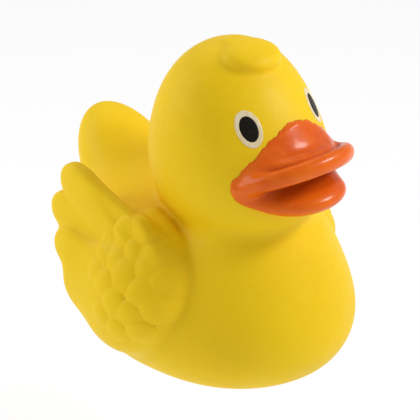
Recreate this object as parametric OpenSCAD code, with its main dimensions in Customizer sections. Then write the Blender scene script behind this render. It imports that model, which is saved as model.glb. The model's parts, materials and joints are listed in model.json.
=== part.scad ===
// Floating chlorine dispenser in the shape of a duck, in millimetres.
//
// The hollow duck is the float. A dry well is clamped into an opening in its belly, and a screw-in
// cartridge in the well holds two standard tablets. Water reaches the tablets through the slots in
// the cap, and the dial under the cap covers or uncovers those slots. A vent tube lets the air out
// of the well. A ring under the tail takes a tether.
//
// +Z is up and the duck looks along -Y. The origin is on the cartridge's axis, in the plane that
// the well's rim rests on.

/* [Tablets] */
// Diameter of one tablet
tablet_d = 76; // [72:0.5:77]
// Height of one tablet
tablet_h = 27; // [20:0.5:27]
// Tablets in the stack
tablet_count = 2; // [1:1:2]

/* [Duck] */
// Width of the egg-shaped body
body_w = 196; // [190:1:202]
// Length of the egg-shaped body
body_l = 220; // [214:1:228]
// Height of the egg before its base is flattened
body_h = 134; // [130:1:138]
// Width of the head across the cheeks
head_w = 128; // [120:1:132]
// Wall thickness of the duck
wall = 3.2; // [2.6:0.1:3.6]

/* [Cartridge] */
// Travel of the cap in one whole turn
thread_lead = 24; // [22:1:26]
// Number of thread starts
thread_starts = 4; // [3:1:4]
// Number of flow slots in the cap, the basket and the dial
slot_count = 6; // [5:1:6]
// Angle that one flow slot covers
slot_angle = 26; // [20:1:28]

/* [Fixings] */
// Screws that clamp the well to the duck
flange_screw_count = 8; // [8:4:16]
// Bore of the tether ring
ring_bore = 12; // [10:0.5:13]

/* [Hidden] */
$fn = 96;

// Duck, each part as an ellipsoid with a centre and three half axes
duck_y = -9.3;
body_at = [0, duck_y, 58];
body_r = [body_w / 2, body_l / 2, body_h / 2];
body_taper = 0.19;
chest_at = [0, duck_y - 41, 69];
chest_r = [70, 62, 78];
cheek_at = [0, duck_y - 27.5, 156];
cheek_r = [head_w / 2, 67, 59];
crown_at = [0, duck_y - 15.5, 197];
crown_r = [47.5, 39, 51.5];
tail_at = [0, duck_y + 94, 120];
tail_r = [38.5, 51, 30];
tail_pitch = 47;
rump_at = [0, duck_y + 66, 88];
rump_r = [52, 44, 44];
wing_at = [76.5, duck_y + 15.5, 85.5];
wing_r = [31, 67, 55];
wing_pitch = 26.5;
feather_r = 13.5;
feather_count = 3;
chest_blend = 30;
head_blend = 40;
base_blend = 28;
march_steps = 14;

// Bill, an upper and a lower spoon, and a root that runs up the face
upper_bill_at = [0, duck_y - 76, 172];
upper_bill_r = [46, 42, 13];
lower_bill_at = [0, duck_y - 77.5, 152];
lower_bill_r = [36, 35, 14];
root_at = [0, duck_y - 72, 178];
root_r = [26, 22, 22.5];
bill_pitch = -16;
root_blend = 18;

// Eyes, painted ovals on the crown
eye_z = 203;
eye_turn = 32.5;
eye_half_w = 9.6;
eye_half_h = 14;
pupil_share = 0.7;
paint_gap = 0.15;
paint_t = 0.6;

// Fits
touch = 0.02;
loose = 0.15;

// Cartridge and well, from the inside outwards
tablet_r = tablet_d / 2;
basket_in_r = tablet_r + 0.9;
basket_out_r = basket_in_r + 1.7;
tube_in_r = basket_out_r + 1.2;
tube_out_r = tube_in_r + 2.4;
collar_in_r = basket_out_r + 0.6;
collar_out_r = collar_in_r + 2.2;
rib_in_r = collar_out_r + 0.4;
lug_out_r = collar_out_r + 2.2;
mouth_in_r = lug_out_r + 0.4;
mouth_out_r = mouth_in_r + 2.6;
opening_r = mouth_out_r + 0.4;
screw_circle_r = opening_r + 4.2;
flange_r = screw_circle_r + 4.3;
recess_r = flange_r + 0.8;
clamp_r = screw_circle_r + 7.8;
land_r = clamp_r + 3;

// Heights above the resting plane
cap_bottom_z = 1.5;
flange_z = 4.5;
flange_t = 4.5;
well_gasket_t = 2;
land_z = flange_z + flange_t + well_gasket_t;
land_t = 3.5;
clamp_z = land_z + land_t + loose;
clamp_t = 4;
ballast_z = clamp_z + clamp_t + touch;
ballast_t = 11.4;
cap_floor_z = 7;
cap_floor_t = 3.5;
collar_top_z = 18;
shoulder_z = 20;
shoulder_t = 2.5;
basket_z = cap_floor_z + cap_floor_t + touch;
basket_floor_t = 3.3;
tablet_z = basket_z + basket_floor_t + 0.1;
tablet_pitch = tablet_h + 0.2;
basket_top_z = tablet_z + tablet_count * tablet_pitch + 5.5;
well_top_z = basket_top_z + 4;
well_top_t = 2.5;

// Thread, a rib on each side at the same lead
thread_angle = 36;
thread_phase = 1.7;
rib_z = 3.5;
rib_h = 6;
lug_z = 5;
lug_h = 7;

// Flow slots and dial
slot_pitch = 360 / slot_count;
slot_in_r = 14;
slot_out_r = 34;
dial_r = 36;
dial_z = 3.4;
dial_t = 2.8;
skirt_in_r = dial_r + 1.2;
grip_z = 1.2;
pivot_r = 3;
pivot_bore_r = 3.08;
hub_hole_r = 6.7;
basket_screw_r = 1.5;
basket_screw_circle_r = 24;

// M4 screws
screw_r = 1.95;
clear_r = 2.2;
tap_r = 2.02;
head_r = 3.7;
head_h = 2.3;

// Vent
vent_z = 74;
vent_face_y = duck_y + 105.4;
vent_boss_y = vent_face_y - 5.5;
vent_boss_r = 10;
nipple_r = 3.6;
nipple_bore_r = 2;
nipple_y = 52;
vent_tube_r = 5;
grommet_neck_r = 5.85;
grommet_flange_r = 8.8;

// Tether
tether_z = 48;
tether_face_y = duck_y + 108.7;
tether_boss_y = tether_face_y - 6.8;
plate_w = 36;
plate_h = 14;
plate_t = 3;
plate_screw_x = 14;
pin_y = tether_face_y + 14.2;
pin_r = 2;
ear_in_x = 2.6;
ear_t = 3;
ear_r = 5;
ring_in_r = ring_bore / 2;
ring_out_r = ring_in_r + 3;
ring_t = 4;
ring_drop = 11.5;

// ---------- the duck's form ----------

// Signed distance, near enough close to the surface, from p to an ellipsoid at the origin
function ellipsoid_gap(p, r) =
    let (a = [p.x / r.x, p.y / r.y, p.z / r.z])
    let (b = [a.x / r.x, a.y / r.y, a.z / r.z])
    norm(a) * (norm(a) - 1) / max(norm(b), 0.000001);

// Point p seen in axes that are pitched up about X by an angle
function pitched(p, angle) =
    [p.x, p.y * cos(angle) + p.z * sin(angle), p.z * cos(angle) - p.y * sin(angle)];

// Union of two forms with a fillet about as wide as k
function blend(a, b, k) =
    let (h = max(k - abs(a - b), 0) / k)
    min(a, b) - h * h * k / 4;

function egg_gap(p) =
    let (q = p - body_at, s = 1 - body_taper * min(max(q.z / body_r.z, -1), 1))
    ellipsoid_gap([q.x / s, q.y / s, q.z], body_r);

// Body and breast, flattened at the base
function torso_gap(p) =
    let (torso = blend(egg_gap(p), ellipsoid_gap(p - chest_at, chest_r), chest_blend))
    -blend(-torso, p.z, base_blend);

// The wing on +X, without its long feathers
function wing_gap(p) = ellipsoid_gap(pitched(p - wing_at, wing_pitch), wing_r);

function head_gap(p) =
    blend(ellipsoid_gap(p - cheek_at, cheek_r), ellipsoid_gap(p - crown_at, crown_r), head_blend);

function upper_bill_gap(p) =
    blend(ellipsoid_gap(pitched(p - upper_bill_at, bill_pitch), upper_bill_r),
        ellipsoid_gap(p - root_at, root_r),
        root_blend);

function lower_bill_gap(p) =
    ellipsoid_gap(pitched(p - lower_bill_at, bill_pitch), lower_bill_r);

// Distance from centre c along direction d to where a form's gap is nought
function exit_distance(form, c, d, t = 4, steps = march_steps) =
    steps == 0 ? t
    : exit_distance(form, c, d, t - 0.85 * form(c + t * d), steps - 1);

function exit_point(form, c, d) = c + d * exit_distance(form, c, d);

function sphere_direction(v, u) = [sin(v) * cos(u), sin(v) * sin(u), cos(v)];

// The part of a form that can be seen from inside it at c, as rows of points from top to bottom
module star(form, c, rows, cols) {
    ring_points = [
        for (i = [1:rows - 1], j = [0:cols - 1])
            exit_point(form, c, sphere_direction(180 * i / rows, 360 * j / cols))
    ];
    top = exit_point(form, c, [0, 0, 1]);
    bottom = exit_point(form, c, [0, 0, -1]);
    last = (rows - 2) * cols;
    count = (rows - 1) * cols;
    top_fan = [for (j = [0:cols - 1]) [count, (j + 1) % cols, j]];
    bottom_fan = [for (j = [0:cols - 1]) [last + j, last + (j + 1) % cols, count + 1]];
    upper_half = [
        for (i = [0:rows - 3], j = [0:cols - 1])
            [i * cols + j, i * cols + (j + 1) % cols, (i + 1) * cols + (j + 1) % cols]
    ];
    lower_half = [
        for (i = [0:rows - 3], j = [0:cols - 1])
            [i * cols + j, (i + 1) * cols + (j + 1) % cols, (i + 1) * cols + j]
    ];
    polyhedron(
        points = concat(ring_points, [top, bottom]),
        faces = concat(top_fan, upper_half, lower_half, bottom_fan)
    );
}

// The whole duck in overlapping stars, grown or shrunk by lift; detail scales their grids
module duck_form(lift, detail) {
    torso = function (p) torso_gap(p) - lift;
    rump = function (p) ellipsoid_gap(p - rump_at, rump_r) - lift;
    tail = function (p) ellipsoid_gap(pitched(p - tail_at, tail_pitch), tail_r) - lift;
    wing = function (p) wing_gap(p) - lift;
    head = function (p) head_gap(p) - lift;
    star(torso, body_at, round(22 * detail), round(40 * detail));
    star(rump, rump_at, round(12 * detail), round(24 * detail));
    star(tail, tail_at, round(14 * detail), round(22 * detail));
    star(head, cheek_at + [0, 4, 14], round(20 * detail), round(36 * detail));
    for (side = [0, 1])
        mirror([side, 0, 0])
            star(wing, wing_at, round(14 * detail), round(24 * detail));
}

// The long feathers of both wings, each a round-ended bar that points back and up
module long_feathers() {
    for (side = [-1, 1], i = [1:feather_count])
        hull() {
            translate([side * wing_at.x, duck_y - 14 + 4 * i, 120 - 14 * i])
                sphere(r = feather_r, $fn = 14);
            translate([side * (wing_at.x + 2 * i), duck_y + 57, 159 - 18.5 * i])
                sphere(r = feather_r, $fn = 14);
        }
}

// Joins faceted children into one mesh
module one_mesh() {
    resize([0, 0, 0]) children();
}

// ---------- small shapes that repeat ----------

module around(count, r, start = 0) {
    for (i = [0:count - 1])
        rotate([0, 0, start + 360 * i / count])
            translate([r, 0, 0])
                children();
}

module tube(r_out, r_in, h) {
    rotate_extrude()
        translate([r_in, 0])
            square([r_out - r_in, h]);
}

// A bar along +X
module along_x(r, from, to) {
    translate([from, 0, 0])
        rotate([0, 90, 0])
            cylinder(r = r, h = to - from);
}

// A bar along +Y
module along_y(r, from, to) {
    translate([0, from, 0])
        rotate([-90, 0, 0])
            cylinder(r = r, h = to - from);
}

// Pan-head screw that points up, with the underside of its head at z = 0
module screw(shank_r, length, r, h) {
    difference() {
        union() {
            cylinder(r = shank_r, h = length);
            translate([0, 0, -h])
                cylinder(r = r, h = h);
        }
        for (turn = [0, 90])
            rotate([0, 0, turn])
                translate([-0.65 * r, -0.45, -h - 1])
                    cube([1.3 * r, 0.9, 1 + h / 2]);
    }
}

module flow_slots(z, h) {
    for (i = [0:slot_count - 1])
        rotate([0, 0, i * slot_pitch - slot_angle / 2])
            rotate_extrude(angle = slot_angle)
                translate([slot_in_r, z])
                    square([slot_out_r - slot_in_r, h]);
}

// One rib of the thread for each start, from r_in to r_out, rising anticlockwise
module thread_ribs(r_in, r_out, z, h) {
    turn = 360 * h / thread_lead;
    for (i = [0:thread_starts - 1])
        rotate([0, 0, thread_phase + 360 * (i / thread_starts + z / thread_lead)])
            translate([0, 0, z])
                linear_extrude(height = h, twist = -turn, slices = 12, segments = 14)
                    arc_sector(r_in, r_out, thread_angle, 6);
}

module arc_sector(r_in, r_out, angle, steps) {
    polygon(concat(
        [for (k = [0:steps]) r_out * [cos(angle * k / steps), sin(angle * k / steps)]],
        [for (k = [steps:-1:0]) r_in * [cos(angle * k / steps), sin(angle * k / steps)]]
    ));
}

// ---------- the duck ----------

module duck_shell() {
    color("gold")
    one_mesh()
    difference() {
        union() {
            duck_form(0, 1);
            long_feathers();
        }
        difference() {
            duck_form(-wall, 0.6);
            cylinder(r = land_r, h = land_z + land_t, $fn = 64);
            translate([0, 0, vent_z])
                along_y(vent_boss_r, vent_boss_y, vent_face_y + 10, $fn = 32);
            translate([-plate_w / 2 - 2, tether_boss_y, tether_z - plate_h / 2 - 2])
                cube([plate_w + 4, 20, plate_h + 4]);
        }
        translate([0, 0, -10])
            cylinder(r = recess_r, h = land_z + 10, $fn = 64);
        translate([0, 0, -10])
            cylinder(r = opening_r, h = land_z + land_t + 20);
        around(flange_screw_count, screw_circle_r, 180 / flange_screw_count)
            cylinder(r = clear_r, h = land_z + land_t + 5, $fn = 24);
        translate([0, 0, vent_z]) {
            along_y(grommet_neck_r + loose, vent_boss_y - 5, vent_face_y + 10, $fn = 32);
            along_y(grommet_flange_r + 0.6, vent_face_y, vent_face_y + 20, $fn = 40);
        }
        translate([-plate_w / 2 - 0.6, tether_face_y, tether_z - plate_h / 2 - 0.6])
            cube([plate_w + 1.2, 20, plate_h + 1.2]);
        for (side = [-1, 1])
            translate([side * plate_screw_x, 0, tether_z])
                along_y(clear_r, tether_boss_y - 2, tether_face_y + 5, $fn = 24);
    }
}

module bill() {
    upper = function (p) upper_bill_gap(p);
    lower = function (p) lower_bill_gap(p);
    face = function (p) head_gap(p) - loose;
    color("darkorange")
    one_mesh()
    difference() {
        union() {
            star(upper, root_at + [0, -2, -4], 26, 48);
            star(lower, lower_bill_at, 18, 36);
        }
        star(face, cheek_at + [0, 4, 14], 36, 72);
    }
}

// Where the eye's middle line leaves the crown, as a direction from the head's middle
function eye_direction(side) = [side * sin(eye_turn), -cos(eye_turn), 0];

// Point of the painted oval: share of its radius, angle round it, height over the skin
function eye_point(side, share, angle, lift) =
    let (c = [0, crown_at.y, eye_z], d = eye_direction(side))
    let (skin = function (p) head_gap(p) - lift)
    let (middle = exit_distance(skin, c, d))
    let (across = [cos(eye_turn), side * sin(eye_turn), 0] * eye_half_w * share * cos(angle))
    let (up = [0, 0, eye_half_h * share * sin(angle)])
    let (aim = d * middle + across + up)
    exit_point(skin, c, aim / norm(aim));

// A painted oval ring or disc that follows the skin, from share_in to share_out of the oval
module eye_paint(side, share_in, share_out) {
    cols = 28;
    bands = 3;
    floor_lift = paint_gap;
    top_lift = paint_gap + paint_t;
    first = share_in == 0 ? share_out / (bands + 1) : share_in;
    shares = [for (k = [0:bands]) first + (share_out - first) * k / bands];
    loops = concat(
        [for (s = shares) [s, top_lift]],
        [for (k = [bands:-1:0]) [shares[k], floor_lift]]
    );
    ring_points = [
        for (l = loops, j = [0:cols - 1]) eye_point(side, l[0], 360 * j / cols, l[1])
    ];
    loop_count = len(loops);
    joined = share_in == 0 ? loop_count - 2 : loop_count - 1;
    walls = [
        for (i = [0:joined], j = [0:cols - 1])
            let (a = i * cols, b = ((i + 1) % loop_count) * cols, k = (j + 1) % cols)
            each [[a + j, b + k, a + k], [a + j, b + j, b + k]]
    ];
    last = (loop_count - 1) * cols;
    count = loop_count * cols;
    caps = share_in > 0 ? [] : [
        for (j = [0:cols - 1])
            let (k = (j + 1) % cols)
            each [[count, j, k], [count + 1, last + k, last + j]]
    ];
    middle_points = [eye_point(side, 0, 0, top_lift), eye_point(side, 0, 0, floor_lift)];
    faces = concat(walls, caps);
    polyhedron(
        points = concat(ring_points, middle_points),
        faces = side < 0 ? faces : [for (f = faces) [f[0], f[2], f[1]]]
    );
}

module left_eye_ring() { color("wheat") eye_paint(1, pupil_share + 0.02, 1); }

module right_eye_ring() { color("wheat") eye_paint(-1, pupil_share + 0.02, 1); }

module left_pupil() { color("black") eye_paint(1, 0, pupil_share); }

module right_pupil() { color("black") eye_paint(-1, 0, pupil_share); }

// ---------- the well and what clamps it in ----------

module dry_well() {
    color("white")
    difference() {
        union() {
            rotate_extrude()
                polygon([
                    [mouth_in_r, 0],
                    [mouth_out_r - 1.2, 0],
                    [mouth_out_r, 1.5],
                    [mouth_out_r, flange_z],
                    [flange_r - 1, flange_z],
                    [flange_r, flange_z + 1],
                    [flange_r, flange_z + flange_t],
                    [mouth_out_r, flange_z + flange_t],
                    [mouth_out_r, shoulder_z + shoulder_t],
                    [tube_out_r, shoulder_z + shoulder_t],
                    [tube_out_r, well_top_z],
                    [tube_out_r - well_top_t, well_top_z + well_top_t],
                    [0, well_top_z + well_top_t],
                    [0, well_top_z],
                    [tube_in_r, well_top_z],
                    [tube_in_r, shoulder_z],
                    [mouth_in_r, shoulder_z]
                ]);
            thread_ribs(rib_in_r, mouth_in_r + 1.2, rib_z, rib_h);
            translate([0, 0, vent_z])
                along_y(nipple_r, tube_in_r + 1, nipple_y);
        }
        around(flange_screw_count, screw_circle_r, 180 / flange_screw_count) {
            cylinder(r = clear_r, h = land_z);
            cylinder(r = head_r + 0.3, h = flange_z + head_h + 0.4);
        }
        translate([0, 0, vent_z])
            along_y(nipple_bore_r, tube_in_r - 5, nipple_y + 1);
    }
}

module well_gasket() {
    color("dimgray")
    difference() {
        translate([0, 0, flange_z + flange_t + touch])
            tube(flange_r - 0.3, opening_r, well_gasket_t - touch - loose);
        around(flange_screw_count, screw_circle_r, 180 / flange_screw_count)
            cylinder(r = clear_r + 0.1, h = land_z);
    }
}

// Two half rings, so that they pass through the belly's opening
module clamp_ring() {
    split = 0.6;
    color("whitesmoke")
    difference() {
        translate([0, 0, clamp_z])
            tube(clamp_r, opening_r + 0.3, clamp_t);
        rotate([0, 0, 45])
            translate([-clamp_r - 1, -split / 2, clamp_z - 1])
                cube([2 * clamp_r + 2, split, clamp_t + 2]);
        around(flange_screw_count, screw_circle_r, 180 / flange_screw_count)
            cylinder(r = tap_r, h = clamp_z + clamp_t + 1);
        around(4, screw_circle_r + 1.8)
            cylinder(r = tap_r, h = clamp_z + clamp_t + 1);
    }
}

module flange_screws() {
    z = flange_z + head_h + 0.3;
    color("silver")
    around(flange_screw_count, screw_circle_r, 180 / flange_screw_count)
        translate([0, 0, z])
            screw(screw_r, clamp_z + clamp_t - z - 0.1, head_r, head_h);
}

module ballast_segments() {
    span = 76;
    color("slategray")
    for (i = [0:3])
        rotate([0, 0, 90 * i])
            difference() {
                rotate([0, 0, -span / 2])
                    rotate_extrude(angle = span)
                        translate([opening_r + 0.6, ballast_z])
                            square([clamp_r - opening_r - 1.1, ballast_t]);
                translate([screw_circle_r + 1.8, 0, 0]) {
                    cylinder(r = clear_r, h = ballast_z + ballast_t + 1);
                    translate([0, 0, ballast_z + ballast_t - head_h - 0.3])
                        cylinder(r = head_r + 0.3, h = 10);
                }
            }
}

module ballast_screws() {
    z = ballast_z + ballast_t - head_h - 0.28;
    color("silver")
    around(4, screw_circle_r + 1.8)
        translate([0, 0, z])
            rotate([180, 0, 0])
                screw(screw_r, z - clamp_z - 0.2, head_r, head_h);
}

// ---------- the vent ----------

module vent_tube() {
    color("lightblue")
    translate([0, 0, vent_z])
        difference() {
            along_y(vent_tube_r, tube_out_r + 0.8, vent_boss_y - 2.4);
            along_y(nipple_r + 0.04, tube_out_r, vent_boss_y);
        }
}

module vent_grommet() {
    color("dimgray")
    translate([0, 0, vent_z])
        difference() {
            union() {
                along_y(nipple_r, vent_boss_y - 10, vent_boss_y - 2);
                along_y(grommet_flange_r - 1.2, vent_boss_y - 2.2, vent_boss_y - loose);
                along_y(grommet_neck_r, vent_boss_y - 1, vent_face_y + 1);
                along_y(grommet_flange_r, vent_face_y + loose, vent_face_y + 2.2);
            }
            along_y(nipple_bore_r, vent_boss_y - 11, vent_face_y + 3);
        }
}

// ---------- the tether ----------

module tether_bracket() {
    color("silver")
    difference() {
        union() {
            translate([-plate_w / 2, tether_face_y + loose, tether_z - plate_h / 2])
                cube([plate_w, plate_t, plate_h]);
            for (side = [-1, 1])
                translate([side * (ear_in_x + ear_t / 2), 0, tether_z]) {
                    translate([-ear_t / 2, tether_face_y + 1, -ear_r])
                        cube([ear_t, pin_y - tether_face_y - 1, 2 * ear_r]);
                    translate([0, pin_y, 0])
                        along_x(ear_r, -ear_t / 2, ear_t / 2);
                }
        }
        translate([0, pin_y, tether_z])
            along_x(pin_r + 0.05, -20, 20);
        for (side = [-1, 1])
            translate([side * plate_screw_x, 0, tether_z])
                along_y(clear_r, tether_face_y - 1, tether_face_y + 10);
    }
}

module bracket_screws() {
    y = tether_face_y + loose + plate_t + touch;
    color("silver")
    for (side = [-1, 1])
        translate([side * plate_screw_x, y, tether_z])
            rotate([90, 0, 0])
                screw(screw_r, y - tether_boss_y - 0.5, head_r, head_h);
}

module tether_pin() {
    head_x = -ear_in_x - ear_t - touch;
    groove_x = ear_in_x + ear_t + 0.6;
    color("silver")
    translate([0, pin_y, tether_z])
        difference() {
            union() {
                along_x(pin_r, head_x - 1, groove_x + 2);
                along_x(pin_r + 1.4, head_x - 1.6, head_x);
            }
            translate([groove_x, 0, 0])
                rotate([0, 90, 0])
                    tube(pin_r + 1, pin_r - 0.5, 0.9);
        }
}

module pin_clip() {
    clip_x = ear_in_x + ear_t + 0.65;
    color("dimgray")
    translate([clip_x, pin_y, tether_z])
        rotate([0, 90, 0])
            rotate([0, 0, 35])
                rotate_extrude(angle = 290)
                    translate([pin_r - 0.45, 0])
                        square([2.1, 0.8]);
}

// Swings on the pin; the cord or snap hook goes through its round eye
module tether_ring() {
    color("silver")
    translate([0, pin_y, tether_z])
        difference() {
            union() {
                along_x(ear_r - 0.8, -ring_t / 2, ring_t / 2);
                translate([0, 0, -ring_drop])
                    along_x(ring_out_r, -ring_t / 2, ring_t / 2);
                translate([-ring_t / 2, -2.5, -ring_drop])
                    cube([ring_t, 5, ring_drop]);
            }
            along_x(pin_r + 0.06, -10, 10);
            translate([0, 0, -ring_drop])
                along_x(ring_in_r, -10, 10);
        }
}

// ---------- the cartridge ----------

// Slides with the cap but does not turn, because it is pinched against the well's shoulder
module cap_gasket() {
    color("dimgray")
    translate([0, 0, collar_top_z + 0.05])
        tube(rib_in_r - 0.3, collar_in_r + 0.4, shoulder_z - collar_top_z - 0.1);
}

module threaded_cap() {
    notch_count = 6;
    notch_w = 7;
    color("deepskyblue")
    difference() {
        union() {
            rotate_extrude()
                polygon([
                    [pivot_bore_r, cap_floor_z],
                    [skirt_in_r, cap_floor_z],
                    [skirt_in_r, cap_bottom_z],
                    [collar_out_r - 1, cap_bottom_z],
                    [collar_out_r, cap_bottom_z + 1],
                    [collar_out_r, collar_top_z],
                    [collar_in_r, collar_top_z],
                    [collar_in_r, cap_floor_z + cap_floor_t],
                    [pivot_bore_r, cap_floor_z + cap_floor_t]
                ]);
            thread_lugs();
        }
        flow_slots(cap_floor_z - 1, cap_floor_t + 2);
        around(3, basket_screw_circle_r, slot_pitch / 2)
            cylinder(r = basket_screw_r + 0.05, h = 20);
        for (i = [0:notch_count / 2 - 1])
            rotate([0, 0, 360 * i / notch_count])
                translate([-collar_out_r - 1, -notch_w / 2, cap_bottom_z - 1])
                    cube([2 * collar_out_r + 2, notch_w, 3]);
    }
}

// The cap's side of the thread sits half a pitch above the well's side
module thread_lugs() {
    half_pitch = thread_lead / thread_starts / 2;
    rotate([0, 0, -360 * half_pitch / thread_lead])
        thread_ribs(collar_out_r - 1, lug_out_r, lug_z, lug_h);
}

module tablet_basket() {
    slots = 16;
    slot_w = 5;
    slot_z = basket_z + basket_floor_t + 4;
    color("ivory")
    difference() {
        union() {
            translate([0, 0, basket_z])
                tube(basket_out_r, basket_in_r, basket_top_z - basket_z);
            translate([0, 0, basket_top_z - 2])
                tube(basket_out_r + 0.6, basket_in_r, 2);
            translate([0, 0, basket_z])
                tube(basket_in_r + 0.5, hub_hole_r, basket_floor_t);
        }
        flow_slots(basket_z - 1, basket_floor_t + 2);
        for (i = [0:slots / 2 - 1])
            rotate([0, 0, 180 * i / (slots / 2)])
                translate([-basket_out_r - 1, -slot_w / 2, slot_z])
                    cube([2 * basket_out_r + 2, slot_w, basket_top_z - slot_z - 7]);
        around(3, basket_screw_circle_r, slot_pitch / 2) {
            cylinder(r = basket_screw_r + 0.1, h = 20);
            translate([0, 0, basket_z + 1.4])
                cylinder(r = basket_screw_r + 1.6, h = 5);
        }
    }
}

module basket_screws() {
    z = basket_z + 1.4 + touch;
    color("silver")
    around(3, basket_screw_circle_r, slot_pitch / 2)
        translate([0, 0, z])
            rotate([180, 0, 0])
                screw(basket_screw_r, z - cap_floor_z - 0.4, basket_screw_r + 1.4, 1.6);
}

module flow_dial() {
    bar_in_r = 9;
    bar_out_r = 31;
    bar_w = 8;
    color("white")
    difference() {
        union() {
            translate([0, 0, dial_z])
                tube(dial_r, pivot_bore_r, dial_t);
            for (turn = [0, 180])
                rotate([0, 0, slot_pitch / 2 + turn])
                    translate([bar_in_r, -bar_w / 2, grip_z])
                        cube([bar_out_r - bar_in_r, bar_w, dial_z + 1 - grip_z]);
        }
        flow_slots(dial_z - 1, dial_t + 2);
        rotate([0, 0, slot_pitch / 2])
            translate([dial_r, 0, 0])
                cylinder(r = 1.5, h = 10);
    }
}

module dial_washer() {
    color("silver")
    translate([0, 0, dial_z + dial_t + 0.1])
        tube(8, pivot_r + 0.2, cap_floor_z - dial_z - dial_t - 0.15);
}

module dial_pivot() {
    head_t = 1.7;
    color("silver")
    difference() {
        union() {
            translate([0, 0, dial_z - 0.1 - head_t])
                cylinder(r = 6.5, h = head_t);
            translate([0, 0, dial_z - 0.2])
                cylinder(r = pivot_r, h = basket_z + 2.6 - dial_z + 0.2);
        }
        translate([0, 0, dial_z - 0.1 - head_t - 1])
            cylinder(r = 2.3, h = 2, $fn = 6);
    }
}

module pivot_nut() {
    color("silver")
    translate([0, 0, cap_floor_z + cap_floor_t + touch])
        difference() {
            cylinder(r = 5.8, h = 2.8, $fn = 6);
            translate([0, 0, -1])
                cylinder(r = pivot_r + 0.03, h = 5);
        }
}

module tablets() {
    bevel = 2;
    color("snow")
    for (i = [0:tablet_count - 1])
        translate([0, 0, tablet_z + i * tablet_pitch])
            rotate_extrude()
                polygon([
                    [0, 0],
                    [tablet_r - bevel, 0],
                    [tablet_r, bevel],
                    [tablet_r, tablet_h - bevel],
                    [tablet_r - bevel, tablet_h],
                    [0, tablet_h]
                ]);
}

duck_shell();
bill();
left_eye_ring();
right_eye_ring();
left_pupil();
right_pupil();
dry_well();
well_gasket();
clamp_ring();
flange_screws();
ballast_segments();
ballast_screws();
vent_tube();
vent_grommet();
tether_bracket();
bracket_screws();
tether_pin();
pin_clip();
tether_ring();
cap_gasket();
threaded_cap();
tablet_basket();
basket_screws();
flow_dial();
dial_washer();
dial_pivot();
pivot_nut();
tablets();
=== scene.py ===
"""Looks of a duck-shaped floating chlorine dispenser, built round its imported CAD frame.

The frame is in metres. Form functions here work in millimetres on the same axes: the duck
faces -Y, +Z is up, and the cartridge turns about the line x = y = 0.
"""
import json
import math

import bmesh
import bpy
import numpy as np
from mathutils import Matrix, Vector


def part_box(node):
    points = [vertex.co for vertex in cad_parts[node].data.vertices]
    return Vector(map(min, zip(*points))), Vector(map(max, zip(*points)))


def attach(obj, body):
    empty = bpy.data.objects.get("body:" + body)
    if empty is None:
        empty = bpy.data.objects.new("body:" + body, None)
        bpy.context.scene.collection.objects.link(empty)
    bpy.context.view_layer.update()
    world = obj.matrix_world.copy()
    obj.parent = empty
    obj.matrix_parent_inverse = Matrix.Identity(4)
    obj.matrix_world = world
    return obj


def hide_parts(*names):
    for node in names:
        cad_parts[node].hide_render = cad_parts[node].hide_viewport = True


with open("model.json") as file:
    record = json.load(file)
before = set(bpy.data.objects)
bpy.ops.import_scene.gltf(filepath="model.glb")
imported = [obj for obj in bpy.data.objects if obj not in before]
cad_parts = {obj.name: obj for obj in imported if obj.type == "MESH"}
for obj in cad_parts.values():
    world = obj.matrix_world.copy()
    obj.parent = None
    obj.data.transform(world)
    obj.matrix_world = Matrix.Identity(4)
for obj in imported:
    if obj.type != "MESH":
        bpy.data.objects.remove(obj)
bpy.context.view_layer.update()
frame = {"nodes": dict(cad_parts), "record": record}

MM = 0.001
# The duck's own middle on Y, measured from the cartridge's axis
DUCK_Y = -9.3
# Height where the trunk is widest
TRUNK_Z = 58
# Heights of the vent and of the tether bracket, and a depth beyond the tail
VENT_Z, TETHER_Z, BEHIND = 74, 48, 140
# Fillets that the skin and the room inside it share
BELLY_FILLET, NECK_FILLET = 20, 8
SKIN_WALL = 5.2
# The belly's opening, the recess for the well's flange and the land between them
OPENING_R, FLANGE_R, FLANGE_TOP, LAND_R, LAND_TOP = 49, 58.3, 11, 63.6, 14.5


# ---------- distance fields, in mm, negative inside ----------

def turn_x(degrees):
    """Reads row vectors in axes whose +Y end is tipped up by the angle."""
    c, s = math.cos(math.radians(degrees)), math.sin(math.radians(degrees))
    return np.array([[1, 0, 0], [0, c, -s], [0, s, c]])


def ellipsoid(p, centre, radii, turn=None):
    """Roughly the distance from an ellipsoid, exact on its surface."""
    q = p - np.array(centre, float)
    if turn is not None:
        q = q @ turn
    r = np.array(radii, float)
    near = np.linalg.norm(q / r, axis=1)
    slope = np.linalg.norm(q / (r * r), axis=1) + 1e-9
    return near * (near - 1) / slope


def join(a, b, k):
    """Union of two fields with a fillet of about k."""
    h = np.maximum(k - np.abs(a - b), 0) / k
    return np.minimum(a, b) - h * h * k * 0.25


def cut(a, b, k):
    """Field a with b taken away, and the edge eased by k."""
    return -join(-a, b, k)


def both(a, b, k):
    """What two fields share, with the edge eased by k."""
    return -join(-a, -b, k)


def ramp(x):
    """A smooth step from 0 to 1."""
    t = np.clip(x, 0, 1)
    return t * t * (3 - 2 * t)


def plate(p, start, end, half_width, half_thick):
    """A long rounded blade from start to end, thin across x."""
    a, b = np.array(start, float), np.array(end, float)
    along = b - a
    t = np.clip((p - a) @ along / (along @ along), 0, 1)
    q = p - a - t[:, None] * along
    flat = np.abs(q[:, 0]) * half_width / half_thick
    edge = np.hypot(q[:, 1], q[:, 2])
    size = (flat ** 4 + edge ** 4) ** 0.25
    return (size - half_width) * (half_thick / half_width) ** 0.5


def disc_z(p, radius, low, high):
    """A round bar about the Z axis."""
    r = np.hypot(p[:, 0], p[:, 1]) - radius
    return np.maximum(r, np.maximum(low - p[:, 2], p[:, 2] - high))


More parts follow.
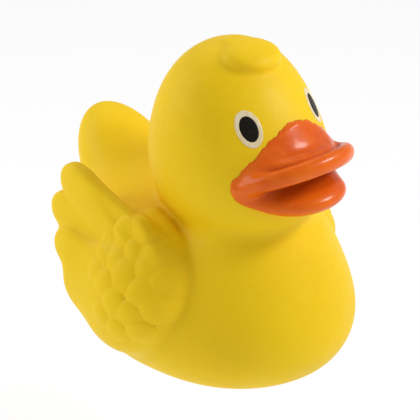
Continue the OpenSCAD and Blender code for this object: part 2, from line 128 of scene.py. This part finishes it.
def bar_y(p, z, radius, low, high):
    """A round bar along Y in the middle plane."""
    r = np.hypot(p[:, 0], p[:, 2] - z) - radius
    return np.maximum(r, np.maximum(low - p[:, 1], p[:, 1] - high))


# ---------- the duck's skin ----------

# Overlapping small feathers: y, z, half length, half width, angle of the free tip, height
FEATHERS = (
    (-28.0, 121.5, 18.0, 11.9, 34, 2.8),
    (-14.5, 121.0, 13.8, 11.9, 52, 3.3),
    (0.5, 105.5, 13.8, 10.6, 62, 3.2),
    (-11.0, 104.0, 14.3, 9.9, 66, 3.5),
    (-23.5, 109.0, 13.8, 9.1, 60, 3.6),
    (-32.5, 104.0, 16.4, 7.8, 70, 3.2),
    (-42.0, 109.0, 17.0, 14.6, 8, 4.0),
    (6.0, 91.5, 9.5, 9.3, 62, 2.8),
    (-5.5, 86.0, 11.1, 10.2, 68, 3.1),
    (-21.0, 95.5, 15.4, 11.7, 66, 3.6),
    (-37.5, 86.0, 13.8, 12.1, 66, 3.5),
    (-51.0, 97.0, 14.3, 13.0, 50, 3.8),
    (-16.5, 74.5, 13.2, 11.2, 72, 3.2),
    (-30.0, 70.0, 11.7, 10.8, 74, 3.1),
    (-48.0, 78.0, 12.7, 11.7, 60, 3.5),
    (-37.5, 58.5, 10.6, 10.3, 76, 2.9),
    (-5.0, 63.0, 9.5, 9.2, 70, 2.6),
    (-20.0, 55.0, 10.1, 9.7, 76, 2.6),
)


def feather_relief(p):
    """Height of the small feathers above the wing, each a dome that lifts towards its tip."""
    h = np.zeros(len(p))
    for y, z, length, width, angle, rise in FEATHERS:
        c, s = math.cos(math.radians(angle)), math.sin(math.radians(angle))
        u = ((p[:, 1] - y) * c + (p[:, 2] - z) * s) / length
        v = ((p[:, 2] - z) * c - (p[:, 1] - y) * s) / width
        dome = np.sqrt(np.clip(1 - u * u - v * v, 0, 1))
        lift = 0.35 + 0.65 * np.clip((u + 0.9) / 1.6, 0, 1)
        h = np.maximum(h, rise * lift * dome)
    return h


def torso(q):
    """Body, chest, back and tail. The body narrows upwards and leans towards the tail."""
    up = q[:, 2] - TRUNK_Z
    taper = 1 - 0.19 * np.clip(up / 67, -1, 1)
    g = q.copy()
    g[:, 0] /= taper
    g[:, 1] = DUCK_Y + (g[:, 1] - DUCK_Y - 0.12 * up) / taper
    body = ellipsoid(g, (0, DUCK_Y, TRUNK_Z), (91, 109, 67))
    chest = ellipsoid(q, (0, DUCK_Y - 38.5, 70), (68.5, 60, 79.5))
    t = (q - np.array((0, DUCK_Y + 92, 120), float)) @ turn_x(47)
    t[:, 0] *= 1 + 0.16 * np.clip(t[:, 1] / 51, -0.5, 1)
    tail = ellipsoid(t, (0, 0, 0), (37.5, 52, 29))
    back = ellipsoid(q, (0, DUCK_Y + 28, 93), (80, 65, 46))
    return join(join(join(body, chest, 30), back, 16), tail, 34)


def head(q):
    """Cheeks and crown, without the lock of feathers."""
    cheek = ellipsoid(q, (0, DUCK_Y - 29, 155.5), (61.5, 64.5, 55.5))
    crown = ellipsoid(q, (0, DUCK_Y - 17.5, 199.5), (49, 43.6, 46.2))
    return join(cheek, crown, 42)


def tuft(q):
    """The swept lock on top of the head."""
    lock = ellipsoid(q, (0, DUCK_Y - 38.5, 238.8), (22, 17.5, 8), turn_x(14))
    for x, reach in ((4, 17), (11, 14)):
        ridge = plate(q, (x * 0.5, DUCK_Y - 20, 243.5), (x, DUCK_Y - 28 - reach, 238.0), 2.6, 2.6)
        lock = join(lock, ridge, 3)
    return lock


# The three lower long feathers from the top: root, tip, half width, half thickness, fillet
LOWER_BLADES = (
    ((81, -13, 103), (82.5, 54.5, 117), 16, 8, 1.6),
    ((82, -9, 84), (87.5, 42.5, 94), 17.5, 11, 7),
    ((83, -8, 68), (87.5, 30, 69), 18, 14, 10),
)
# Far enough from any wing to count as open space
FAR = 60.0


def long_feathers(q, shape):
    """Adds the long feathers to the wing. The topmost one broadens like a fan towards its root."""
    for root, tip, half_width, half_thick, fillet in LOWER_BLADES:
        shape = join(shape, plate(q, root, tip, half_width, half_thick), fillet)
    edge = plate(q, (80, -17, 120), (83.5, 44.5, 143.5), 13.5, 5.5)
    fan = plate(q, (85, -12, 101.6), (83.5, 39, 138.5), 14, 6)
    return join(shape, join(edge, fan, 8), 1.6)


def wing(p):
    """The wing on +X, worked out only where it can matter."""
    out = np.full(len(p), FAR)
    near = (p[:, 0] > 40) & (np.abs(p[:, 1]) < 84) & (p[:, 2] > 8) & (p[:, 2] < 170)
    q = p[near]
    lean = q.copy()
    lean[:, 0] -= 0.22 * (79 - q[:, 2])
    base = ellipsoid(lean, (74, DUCK_Y + 4, 78), (31.5, 52, 52), turn_x(20))
    paddle = plate(q, (78, -10, 104), (80, 27, 117), 26, 7)
    shape = long_feathers(q, join(base, paddle, 8))
    inset = 1.0
    out[near] = shape + inset - feather_relief(q)
    return out


def mirrored(p):
    """The same points on the +X side."""
    q = p.copy()
    q[:, 0] = np.abs(q[:, 0])
    return q


def outer_form(q, trunk, top):
    """The whole outside, flat at z = 0, from the trunk's and the head's fields."""
    body = both(join(trunk, wing(q), 4), -q[:, 2], BELLY_FILLET)
    return join(body, join(top, tuft(q), 5), NECK_FILLET)


def outside(p):
    """The duck's outside as one closed form, without its openings."""
    q = mirrored(p)
    return outer_form(q, torso(q), head(q))


def hollow(q, trunk, top):
    """The room inside, with a thick land round the opening and two bosses at the back."""
    room = join(both(trunk, -q[:, 2], BELLY_FILLET), top, NECK_FILLET) + SKIN_WALL
    room = both(room, LAND_TOP - q[:, 2], 1)
    room = np.minimum(room, disc_z(q, LAND_R, LAND_TOP, 31))
    room = cut(room, bar_y(q, VENT_Z, 10, DUCK_Y + 99.9, BEHIND), 1)
    return cut(room, bar_y(q, TETHER_Z, 21, DUCK_Y + 101.9, BEHIND), 1)


def skin(p):
    """The hollow float with its flange recess, opening, vent hole and bracket seat."""
    q = mirrored(p)
    trunk, top = torso(q), head(q)
    body = cut(outer_form(q, trunk, top), hollow(q, trunk, top), 0.5)
    body = cut(body, disc_z(p, FLANGE_R, -9, FLANGE_TOP), 1.2)
    body = cut(body, disc_z(p, OPENING_R, -9, LAND_TOP + 1.5), 0.8)
    body = cut(body, bar_y(p, VENT_Z, 9.4, DUCK_Y + 105.4, BEHIND), 0.8)
    body = cut(body, bar_y(p, VENT_Z, 6.0, DUCK_Y + 90, BEHIND), 0.6)
    seat = np.maximum(q[:, 0] - 19, np.abs(q[:, 2] - TETHER_Z) - 8)
    seat = np.maximum(seat, DUCK_Y + 108.7 - q[:, 1])
    return cut(body, seat, 1.0)


# ---------- the bill ----------

BILL_AT = (0, DUCK_Y - 76, 170.5)
# Mean radius of the upper bill's rim, which turns shares of its oval into mm
RIM = 38
# The painted patch, seen from the front: its level, half width, reach up and reach down
PAINT_Z, PAINT_HALF_W, PAINT_UP, PAINT_DOWN = 165, 50.3, 36.5, 20.5


def bill_shape(q):
    """Upper bill with a rolled lip round a broad blade, over a rounder lower bill."""
    p = (q - np.array(BILL_AT, float)) @ turn_x(-16)
    x, y, z = p[:, 0], p[:, 1], p[:, 2]
    front = np.clip(-y / 35, 0, 1)
    rho = np.hypot(x / 41.5, y / 34.5)
    past_rim = (rho - 1) * RIM
    lip = np.hypot(past_rim * 1.1, z + 4.3 - 4.9 * front) - (5.8 + 0.7 * front)
    side = (rho - 0.78 + 0.16 * front) * RIM
    flat = np.abs(z - 1.6 - 1.6 * front) - 1.0
    blade = np.hypot(np.maximum(side, 0), np.maximum(flat, 0)) - 3.6
    blade += np.minimum(np.maximum(side, flat), 0)
    web = np.maximum(np.abs(z + 3.2 - 4.9 * front) - 2.4, past_rim)
    upper = join(join(lip, web, 2.0), blade, 4.5)
    root = ellipsoid(q, (0, DUCK_Y - 60.5, 184), (16, 16, 20), turn_x(22))
    upper = join(upper, root, 20)
    lower = ellipsoid(q, (0, DUCK_Y - 76.5, 150.2), (38, 37.5, 12.8), turn_x(-4))
    return join(upper, lower, 1.2)


def paint_depth(q):
    """How far inside the painted patch a point of the face is, seen from the front."""
    share, z = np.abs(q[:, 0]) / PAINT_HALF_W, q[:, 2] - PAINT_Z
    top = share ** 1.6 + (np.clip(z, 0, None) / PAINT_UP) ** 1.25
    low = share ** 2.7 + (np.clip(-z, 0, None) / PAINT_DOWN) ** 2.7
    middle_depth = 21
    return (1 - np.where(z > 0, top, low)) * middle_depth


def brush_wave(q):
    """The small waver of the painted edge."""
    angle = np.arctan2(q[:, 2] - PAINT_Z, q[:, 0])
    return 0.3 * np.sin(11 * angle + 1.0) + 0.25 * np.sin(23 * angle) + 0.2 * np.sin(41 * angle + 2.0)


def bill(p):
    """The bill and the paint round its root, which lies on the face and rises inwards."""
    q = mirrored(p)
    face = head(q)
    slope = gradient(head, q)
    foot = q - slope * (face / (slope * slope).sum(1))[:, None]
    foot[:, 0] *= np.where(p[:, 0] < 0, -1, 1)
    inward = np.maximum(paint_depth(foot), 0)
    painted = join(bill_shape(q), face - 1.4, 9)
    painted = both(painted, face - 0.5 - 0.7 * inward - 0.09 * inward ** 3, 1.5)
    painted = both(painted, -paint_depth(foot) - brush_wave(foot), 0.4)
    painted = both(painted, p[:, 1] - DUCK_Y + 36, 0.5)
    return cut(painted, face + 2.4, 0.5)


# ---------- meshes from fields ----------

def gradient(field, p, e=0.05):
    """Slope of a field from four samples round each point."""
    g = np.zeros_like(p)
    for corner in ((1, 1, 1), (1, -1, -1), (-1, 1, -1), (-1, -1, 1)):
        d = np.array(corner, float)
        g += field(p + e * d)[:, None] * d
    return g / (4 * e)


def settle(field, p, rounds=3, reach=1.5):
    """Moves points onto the field's zero surface."""
    for _ in range(rounds):
        g = gradient(field, p)
        d = (field(p) / np.maximum((g * g).sum(1), 1e-6))[:, None] * g
        size = np.linalg.norm(d, axis=1, keepdims=True)
        p = p - d * np.minimum(1, reach / np.maximum(size, 1e-9))
    return p


def surface_net(field, low, high, step):
    """Quads on the field's zero surface, one corner for each grid cell that it crosses."""
    low, high = np.array(low, float), np.array(high, float)
    n = np.ceil((high - low) / step).astype(int) + 1
    grid = np.stack(np.meshgrid(*(np.arange(m) for m in n), indexing="ij"), -1).reshape(-1, 3)
    v = field(low + grid * step).reshape(tuple(n))
    total = np.zeros(tuple(n - 1) + (3,))
    count = np.zeros(tuple(n - 1))
    faces = []
    for a in range(3):
        b, c = (a + 1) % 3, (a + 2) % 3
        v0 = np.take(v, np.arange(n[a] - 1), a)
        v1 = np.take(v, np.arange(1, n[a]), a)
        at = np.argwhere((v0 < 0) != (v1 < 0))
        inner = (at[:, b] > 0) & (at[:, b] < n[b] - 1) & (at[:, c] > 0) & (at[:, c] < n[c] - 1)
        at = at[inner]
        f0, f1 = v0[tuple(at.T)], v1[tuple(at.T)]
        point = at.astype(float)
        point[:, a] += f0 / (f0 - f1)
        ring = []
        for db, dc in ((-1, -1), (0, -1), (0, 0), (-1, 0)):
            cell = at.copy()
            cell[:, b] += db
            cell[:, c] += dc
            np.add.at(total, tuple(cell.T), point)
            np.add.at(count, tuple(cell.T), 1)
            ring.append((cell[:, 0] * (n[1] - 1) + cell[:, 1]) * (n[2] - 1) + cell[:, 2])
        ring = np.stack(ring, 1)
        back = f0 > 0
        ring[back] = ring[back][:, ::-1]
        faces.append(ring)
    faces = np.concatenate(faces)
    used = np.flatnonzero(count.ravel())
    index = np.full(count.size, -1)
    index[used] = np.arange(len(used))
    points = total.reshape(-1, 3)[used] / count.ravel()[used][:, None]
    return low + points * step, index[faces].tolist()


def mesh_object(name, points, faces):
    """A new object in the scene, from points in mm and lists of their numbers."""
    mesh = bpy.data.meshes.new(name)
    mesh.from_pydata((points * MM).tolist(), [], list(faces))
    mesh.update()
    obj = bpy.data.objects.new(name, mesh)
    bpy.context.scene.collection.objects.link(obj)
    return obj


def places(mesh):
    """The mesh's points in mm."""
    co = np.empty(len(mesh.vertices) * 3)
    mesh.vertices.foreach_get("co", co)
    return co.reshape(-1, 3) / MM


def refine(obj, chosen_part):
    """Splits the faces whose middle is in the chosen part, with triangles round its rim."""
    mesh = bmesh.new()
    mesh.from_mesh(obj.data)
    middles = np.array([f.calc_center_median()[:] for f in mesh.faces]) / MM
    chosen = chosen_part(middles)
    mesh.faces.ensure_lookup_table()
    edges = {e for i in np.flatnonzero(chosen) for e in mesh.faces[i].edges}
    bmesh.ops.subdivide_edges(mesh, edges=list(edges), cuts=1, use_grid_fill=True)
    odd = [f for f in mesh.faces if len(f.verts) > 4]
    bmesh.ops.triangulate(mesh, faces=odd)
    mesh.to_mesh(obj.data)
    mesh.free()


def field_object(name, field, low, high, step, fine_part=None):
    """A closed piece whose points and shading both come from its field."""
    points, faces = surface_net(field, low, high, step)
    obj = mesh_object(name, settle(field, points, 2, step * 0.6), faces)
    if fine_part:
        refine(obj, fine_part)
        points = settle(field, places(obj.data), 2, step * 0.3)
        obj.data.vertices.foreach_set("co", (points * MM).ravel())
    mesh = obj.data
    normals = gradient(field, places(mesh))
    normals /= np.linalg.norm(normals, axis=1, keepdims=True)
    mesh.shade_smooth()
    mesh.normals_split_custom_set_from_vertices(normals.tolist())
    mesh.update()
    return obj


def on_wing(m):
    return (np.abs(m[:, 0]) > 60) & (np.abs(m[:, 1]) < 74) & (m[:, 2] > 24)


def near_opening(m):
    return (m[:, 2] < 15.5) & (np.hypot(m[:, 0], m[:, 1]) < 63)


def near_fittings(m):
    return (m[:, 1] > 92) & (np.abs(m[:, 0]) < 23) & (m[:, 2] > 36) & (m[:, 2] < 86)


def near_tuft(m):
    return (m[:, 2] > 228) & (m[:, 1] < -12)


def detailed(m):
    """Where the skin has forms too small for its main grid."""
    return on_wing(m) | near_opening(m) | near_fittings(m) | near_tuft(m)


coarse = 1.0
duck = field_object("duck_skin", skin, (-115, -130, -6), (115, 132, 256), 2.5 * coarse, detailed)
duck_bill = field_object("painted_bill", bill, (-58, -136, 126), (58, -42, 208), 1.25 * coarse)


# ---------- the eyes ----------

EYE_HALF_W, EYE_HALF_H, EYE_TILT = 8.9, 13.4, 20.0
# How far the paint reaches into the skin, its loops on each side and the points in a loop
PAINT_ROOT, LOOPS, AROUND = 0.5, 10, 72
# Colour, node, inner and outer share of the oval, and height above the skin
EYE_LAYERS = (
    ("cream", "eye_ring", 0.66, 1.0, 0.30),
    ("black", "pupil", 0, 0.71, 0.42),
)


def eye_seat(node):
    """Middle of an eye on the skin, and its outward, sideways and upward directions."""
    low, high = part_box(node)
    middle = settle(outside, np.array((low + high) / 2)[None, :] / MM, 6, 20)
    out = gradient(outside, middle)[0]
    out /= np.linalg.norm(out)
    across = np.cross((0, 0, 1), out)
    across /= np.linalg.norm(across)
    upward = np.cross(out, across)
    lean = math.radians(EYE_TILT) * (1 if middle[0, 0] < 0 else -1)
    c, s = math.cos(lean), math.sin(lean)
    return middle, out, c * across + s * upward, c * upward - s * across


def paint_loops(seat, shares, share_in, height):
    """Loops of points over the paint's top, then over its underside."""
    middle, _, across, upward = seat
    angles = np.arange(AROUND) * 2 * math.pi / AROUND
    wobble = 1 + 0.006 * np.sin(3 * angles + 0.6) + 0.004 * np.sin(7 * angles)
    sideways = (EYE_HALF_W * np.cos(angles) * wobble)[:, None] * across
    lengthways = (EYE_HALF_H * np.sin(angles) * wobble)[:, None] * upward
    loops = []
    for top in (True, False):
        for share in shares:
            spot = settle(outside, middle + share * (sideways + lengthways), 4, 8)
            slope = gradient(outside, spot)
            slope /= np.linalg.norm(slope, axis=1, keepdims=True)
            edge = min(shares[-1] - share, share - share_in if share_in else 1)
            rise = height * ramp(0.25 + edge / 0.06)
            loops.append(spot + slope * (rise if top else -PAINT_ROOT))
    return loops


def eye_paint(name, node, share_in, share_out, height):
    """A thin oval of paint that follows the skin, a ring if share_in is above 0."""
    seat = eye_seat(node)
    shares = np.linspace(share_in, share_out, LOOPS)
    if not share_in:
        shares = shares[1:]
    loops = paint_loops(seat, shares, share_in, height)
    under = len(shares) * AROUND
    outer = under - AROUND
    faces = []
    for k in range(len(shares) - 1):
        for i in range(AROUND):
            a, b = k * AROUND + i, k * AROUND + (i + 1) % AROUND
            faces.append([a, a + AROUND, b + AROUND, b])
            faces.append([under + b, under + b + AROUND, under + a + AROUND, under + a])
    for i in range(AROUND):
        j = (i + 1) % AROUND
        faces.append([outer + i, under + outer + i, under + outer + j, outer + j])
        if share_in:
            faces.append([j, under + j, under + i, i])
        else:
            faces.append([2 * under, i, j])
            faces.append([2 * under + 1, under + j, under + i])
    if not share_in:
        middle, out = seat[:2]
        centre = settle(outside, middle, 2, 1)
        loops += [centre + out * height, centre - out * PAINT_ROOT]
    obj = mesh_object(name, np.concatenate(loops), faces)
    obj.data.shade_smooth()
    return obj


eyes = []
for colour, piece, share_in, share_out, height in EYE_LAYERS:
    for side in ("right", "left"):
        paint = eye_paint(f"{side}_eye_{colour}", f"{side}_eye_ring", share_in, share_out, height)
        eyes.append((paint, f"{side}_{piece}", f"{colour}_paint"))


# ---------- materials ----------

def srgb(r, g, b):
    """Linear colour from 0 to 255 display values."""
    out = []
    for v in (r, g, b):
        c = v / 255
        out.append(c / 12.92 if c <= 0.04045 else ((c + 0.055) / 1.055) ** 2.4)
    return (*out, 1)


# The colour mixer's sockets for its first colour, its second colour and its result
MIX_A, MIX_B, MIX_OUT = 6, 7, 2


class Finish:
    """A node-built material that starts from the object's own coordinates."""

    def __init__(self, name, roughness, metallic=0.0):
        self.material = bpy.data.materials.new(name)
        self.material.use_nodes = True
        self.tree = self.material.node_tree
        self.shader = self.tree.nodes["Principled BSDF"]
        self.shader.inputs["Roughness"].default_value = roughness
        self.shader.inputs["Metallic"].default_value = metallic
        self.where = self.tree.nodes.new("ShaderNodeTexCoord").outputs["Object"]
        self.bumped = None

    def link(self, a, b):
        self.tree.links.new(a, b)

    def stretched(self, x, y, z):
        node = self.tree.nodes.new("ShaderNodeMapping")
        node.inputs["Scale"].default_value = (x, y, z)
        self.link(self.where, node.inputs["Vector"])
        return node.outputs["Vector"]

    def noise(self, scale, detail, where=None, rough=0.5):
        node = self.tree.nodes.new("ShaderNodeTexNoise")
        node.inputs["Scale"].default_value = scale
        node.inputs["Detail"].default_value = detail
        node.inputs["Roughness"].default_value = rough
        self.link(where or self.where, node.inputs["Vector"])
        return node.outputs["Fac"]

    def spots(self, scale, size):
        """1 in small scattered dots, 0 elsewhere."""
        node = self.tree.nodes.new("ShaderNodeTexVoronoi")
        node.inputs["Scale"].default_value = scale
        node.inputs["Randomness"].default_value = 1.0
        self.link(self.where, node.inputs["Vector"])
        return self.span(node.outputs["Distance"], 0, size, 1, 0)

    def painted_crease_shade_share(self, reach):
        """Mix share for painted crease shade, from ambient occlusion: 0 deep in a crease, where the shade
        is painted on fully, 1 on open ground.
        """
        node = self.tree.nodes.new("ShaderNodeAmbientOcclusion")
        node.samples = 8
        node.inputs["Distance"].default_value = reach
        return self.span(node.outputs["AO"], 0.3, 0.9, 0, 1)

    def span(self, value, a, b, low, high):
        """Stretches a value's range a to b over low to high."""
        node = self.tree.nodes.new("ShaderNodeMapRange")
        for key, v in (("From Min", a), ("From Max", b), ("To Min", low), ("To Max", high)):
            node.inputs[key].default_value = v
        self.link(value, node.inputs["Value"])
        return node.outputs["Result"]

    def times(self, value, factor):
        node = self.tree.nodes.new("ShaderNodeMath")
        node.operation = "MULTIPLY"
        self.link(value, node.inputs[0])
        node.inputs[1].default_value = factor
        return node.outputs["Value"]

    def mix(self, share, a, b):
        node = self.tree.nodes.new("ShaderNodeMix")
        node.data_type = "RGBA"
        self.link(share, node.inputs["Factor"])
        for key, c in ((MIX_A, a), (MIX_B, b)):
            if isinstance(c, tuple):
                node.inputs[key].default_value = c
            else:
                self.link(c, node.inputs[key])
        return node.outputs[MIX_OUT]

    def colour(self, value):
        self.link(value, self.shader.inputs["Base Color"])

    def roughness(self, value):
        self.link(value, self.shader.inputs["Roughness"])

    def bump(self, height, distance, strength):
        node = self.tree.nodes.new("ShaderNodeBump")
        node.inputs["Distance"].default_value = distance
        node.inputs["Strength"].default_value = strength
        self.link(height, node.inputs["Height"])
        if self.bumped is not None:
            self.link(self.bumped, node.inputs["Normal"])
        self.bumped = node.outputs["Normal"]
        self.link(self.bumped, self.shader.inputs["Normal"])

    def eased_edges(self, radius):
        """Shades edges as if they were rounded. It comes before any bump."""
        node = self.tree.nodes.new("ShaderNodeBevel")
        node.samples = 6
        node.inputs["Radius"].default_value = radius
        self.bumped = node.outputs["Normal"]
        self.link(self.bumped, self.shader.inputs["Normal"])

    def set(self, **values):
        for key, v in values.items():
            self.shader.inputs[key.replace("_", " ")].default_value = v


def yellow_vinyl():
    m = Finish("yellow_vinyl", 0.5)
    patch = m.span(m.noise(9, 2), 0.35, 0.65, 0, 1)
    fine = m.span(m.noise(140, 4), 0.3, 0.7, 0, 1)
    base = m.mix(patch, srgb(244, 205, 16), srgb(238, 196, 10))
    skin_tone = m.mix(m.times(fine, 0.35), base, srgb(249, 209, 28))
    # Painted shade: within 9 mm of a crease or hollow the vinyl turns to a deep orange yellow.
    m.colour(m.mix(m.painted_crease_shade_share(0.009), srgb(216, 160, 6), skin_tone))
    m.roughness(m.span(m.noise(60, 3), 0.3, 0.7, 0.46, 0.58))
    m.bump(m.noise(330, 4), 0.0005, 0.10)
    m.bump(m.noise(26, 2), 0.0016, 0.10)
    m.bump(m.spots(46, 0.045), 0.0006, 0.3)
    m.set(Subsurface_Weight=0.08, Subsurface_Radius=(0.012, 0.006, 0.0012), Subsurface_Scale=0.6)
    m.set(Specular_IOR_Level=0.18)
    return m.material


def orange_paint():
    m = Finish("orange_paint", 0.26)
    long_grain = m.stretched(1.0, 0.35, 1.6)
    streak = m.span(m.noise(95, 4, long_grain, 0.6), 0.35, 0.68, 0, 1)
    cloud = m.span(m.noise(28, 2), 0.35, 0.65, 0, 1)
    base = m.mix(cloud, srgb(222, 86, 10), srgb(235, 108, 10))
    paint_tone = m.mix(m.times(streak, 0.5), base, srgb(242, 120, 30))
    # Painted shade: within 16 mm of a crease, such as the mouth line and the lip's groove, the paint
    # turns dark red orange.
    m.colour(m.mix(m.painted_crease_shade_share(0.016), srgb(150, 42, 4), paint_tone))
    m.roughness(m.span(m.noise(120, 4, long_grain), 0.3, 0.7, 0.20, 0.36))
    m.bump(m.noise(150, 4, long_grain, 0.6), 0.0005, 0.1)
    m.set(Coat_Weight=0.09, Coat_Roughness=0.09, Specular_IOR_Level=0.16)
    m.set(Subsurface_Weight=0.05, Subsurface_Radius=(0.006, 0.002, 0.001), Subsurface_Scale=0.5)
    return m.material


def cream_paint():
    m = Finish("cream_paint", 0.42)
    thin = m.span(m.noise(300, 4), 0.35, 0.7, 0, 1)
    m.colour(m.mix(thin, srgb(236, 222, 188), srgb(226, 204, 150)))
    m.bump(m.noise(700, 3), 0.0003, 0.12)
    return m.material


def black_paint():
    m = Finish("black_paint", 0.4)
    dust = m.span(m.noise(900, 3), 0.55, 0.8, 0, 1)
    m.colour(m.mix(dust, srgb(20, 16, 10), srgb(48, 40, 30)))
    m.bump(m.noise(600, 3), 0.0003, 0.15)
    m.set(Specular_IOR_Level=0.15)
    return m.material


def moulded(name, light, dark, roughness=0.38):
    """Injection-moulded plastic with a fine spark texture and faint flow marks, as a Finish."""
    m = Finish(name, roughness)
    m.eased_edges(0.0006)
    flow = m.span(m.noise(34, 3, m.stretched(1, 1, 0.3)), 0.35, 0.65, 0, 1)
    m.colour(m.mix(flow, light, dark))
    m.roughness(m.span(m.noise(90, 3), 0.3, 0.7, roughness - 0.06, roughness + 0.08))
    m.bump(m.noise(1500, 3), 0.0002, 0.18)
    m.set(Specular_IOR_Level=0.45)
    return m


def clear_tube():
    m = moulded("clear_tube", srgb(214, 228, 230), srgb(196, 214, 218), 0.16)
    m.set(Transmission_Weight=0.75, IOR=1.42)
    return m.material


def grey_rubber():
    m = Finish("grey_rubber", 0.72)
    m.eased_edges(0.0004)
    bloom = m.span(m.noise(70, 4), 0.4, 0.7, 0, 1)
    m.colour(m.mix(bloom, srgb(62, 63, 66), srgb(84, 85, 88)))
    m.bump(m.noise(900, 3), 0.0003, 0.3)
    return m.material


def stainless():
    m = Finish("stainless", 0.28, 1.0)
    m.eased_edges(0.0003)
    lines = m.noise(420, 4, m.stretched(0.08, 1, 1), 0.7)
    m.colour(m.mix(m.span(lines, 0.3, 0.7, 0, 1), srgb(208, 208, 205), srgb(178, 179, 178)))
    m.roughness(m.span(lines, 0.3, 0.7, 0.22, 0.42))
    m.bump(lines, 0.0002, 0.15)
    return m.material


def coated_iron():
    m = Finish("coated_iron", 0.6)
    m.eased_edges(0.0008)
    cloud = m.span(m.noise(60, 4), 0.35, 0.65, 0, 1)
    m.colour(m.mix(cloud, srgb(50, 53, 58), srgb(70, 73, 78)))
    m.bump(m.noise(420, 5), 0.0008, 0.5)
    return m.material


def chlorine():
    m = Finish("chlorine", 0.85)
    m.eased_edges(0.001)
    grain = m.span(m.noise(650, 4), 0.35, 0.7, 0, 1)
    m.colour(m.mix(grain, srgb(240, 242, 238), srgb(222, 226, 222)))
    m.bump(m.noise(520, 5), 0.0007, 0.5)
    m.bump(m.spots(120, 0.1), 0.0008, -0.5)
    return m.material


finishes = {
    "yellow_vinyl": yellow_vinyl(),
    "orange_paint": orange_paint(),
    "cream_paint": cream_paint(),
    "black_paint": black_paint(),
    "white_plastic": moulded("white_plastic", srgb(232, 234, 232), srgb(222, 225, 224)).material,
    "blue_plastic": moulded("blue_plastic", srgb(44, 120, 190), srgb(34, 106, 176)).material,
    "orange_plastic": moulded("orange_plastic", srgb(238, 122, 38), srgb(228, 108, 30)).material,
    "grey_rubber": grey_rubber(),
    "clear_tube": clear_tube(),
    "stainless": stainless(),
    "coated_iron": coated_iron(),
    "chlorine": chlorine(),
}

for part in frame["record"]["subparts"]:
    mesh = frame["nodes"][part["node"]].data
    mesh.materials.clear()
    mesh.materials.append(finishes[part["material_slot"]])

for obj, node, slot in [(duck, "duck_shell", "yellow_vinyl"), (duck_bill, "bill", "orange_paint")] + eyes:
    obj.data.materials.append(finishes[slot])
    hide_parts(node)
    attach(obj, "float")


# ---------- floor, light and camera ----------

def stage_floor():
    """A pale sweep that shows from above only, so the underside can be looked at."""
    far, low = 9000, -120
    corners = np.array([[-far, -far, low], [far, -far, low], [far, far, low], [-far, far, low]])
    obj = mesh_object("floor", corners, [[0, 1, 2, 3]])
    mat = bpy.data.materials.new("floor")
    mat.use_nodes = True
    tree = mat.node_tree
    tree.nodes.clear()
    out = tree.nodes.new("ShaderNodeOutputMaterial")
    side = tree.nodes.new("ShaderNodeNewGeometry").outputs["Backfacing"]
    clear = tree.nodes.new("ShaderNodeBsdfTransparent").outputs[0]
    diffuse = tree.nodes.new("ShaderNodeBsdfDiffuse")
    diffuse.inputs["Color"].default_value = (0.16, 0.16, 0.16, 1)
    glow = tree.nodes.new("ShaderNodeEmission")
    glow.inputs["Color"].default_value = (1, 1, 1, 1)
    glow.inputs["Strength"].default_value = 0.86
    added = tree.nodes.new("ShaderNodeAddShader")
    tree.links.new(diffuse.outputs[0], added.inputs[0])
    tree.links.new(glow.outputs[0], added.inputs[1])
    pick = tree.nodes.new("ShaderNodeMixShader")
    tree.links.new(side, pick.inputs[0])
    tree.links.new(added.outputs[0], pick.inputs[1])
    tree.links.new(clear, pick.inputs[2])
    tree.links.new(pick.outputs[0], out.inputs["Surface"])
    obj.data.materials.append(mat)


def stage_world():
    """A white studio, brighter to the camera than as a light."""
    world = bpy.data.worlds.new("studio")
    bpy.context.scene.world = world
    world.use_nodes = True
    tree = world.node_tree
    back = tree.nodes["Background"]
    back.inputs["Color"].default_value = (1, 1, 1, 1)
    path = tree.nodes.new("ShaderNodeLightPath").outputs["Is Camera Ray"]
    level = tree.nodes.new("ShaderNodeMapRange")
    level.inputs["To Min"].default_value = 0.42
    level.inputs["To Max"].default_value = 1.0
    tree.links.new(path, level.inputs["Value"])
    tree.links.new(level.outputs["Result"], back.inputs["Strength"])


AZIMUTH, ELEVATION, DISTANCE = math.radians(-45), math.radians(25), 1.1
LENS, SENSOR = 128.57, 36
TARGET = Vector((0, -0.0069, 0.109))
BACK = Vector((
    math.sin(AZIMUTH) * math.cos(ELEVATION),
    -math.cos(AZIMUTH) * math.cos(ELEVATION),
    math.sin(ELEVATION),
))
RIGHT = (-BACK).cross(Vector((0, 0, 1))).normalized()
UP = RIGHT.cross(-BACK)


def soft_light(name, right, up, back, size, power, tint=(1, 1, 1)):
    """An area light placed by the camera's own directions and aimed at the duck."""
    data = bpy.data.lights.new(name, "AREA")
    data.shape = "RECTANGLE"
    data.size, data.size_y = size
    data.energy = power
    data.color = tint
    obj = bpy.data.objects.new(name, data)
    obj.location = TARGET + RIGHT * right + UP * up + BACK * back
    obj.rotation_mode = "QUATERNION"
    obj.rotation_quaternion = (obj.location - TARGET).to_track_quat("Z", "Y")
    bpy.context.scene.collection.objects.link(obj)


stage_floor()
stage_world()
soft_light("key", 1.0, 0.65, 0.35, (0.45, 0.22), 8.5, (1, 0.985, 0.96))
soft_light("side", -0.98, 0.55, 0.16, (0.8, 0.7), 5.3)
soft_light("top", -0.15, 1.2, -0.1, (1.0, 0.8), 2.1)

camera_data = bpy.data.cameras.new("camera")
camera_data.sensor_width = SENSOR
camera_data.lens = LENS
camera = bpy.data.objects.new("camera", camera_data)
camera.location = TARGET + BACK * DISTANCE
camera.rotation_mode = "QUATERNION"
camera.rotation_quaternion = BACK.to_track_quat("Z", "Y")
bpy.context.scene.collection.objects.link(camera)
bpy.context.scene.camera = camera
bpy.context.scene.view_settings.view_transform = "Standard"
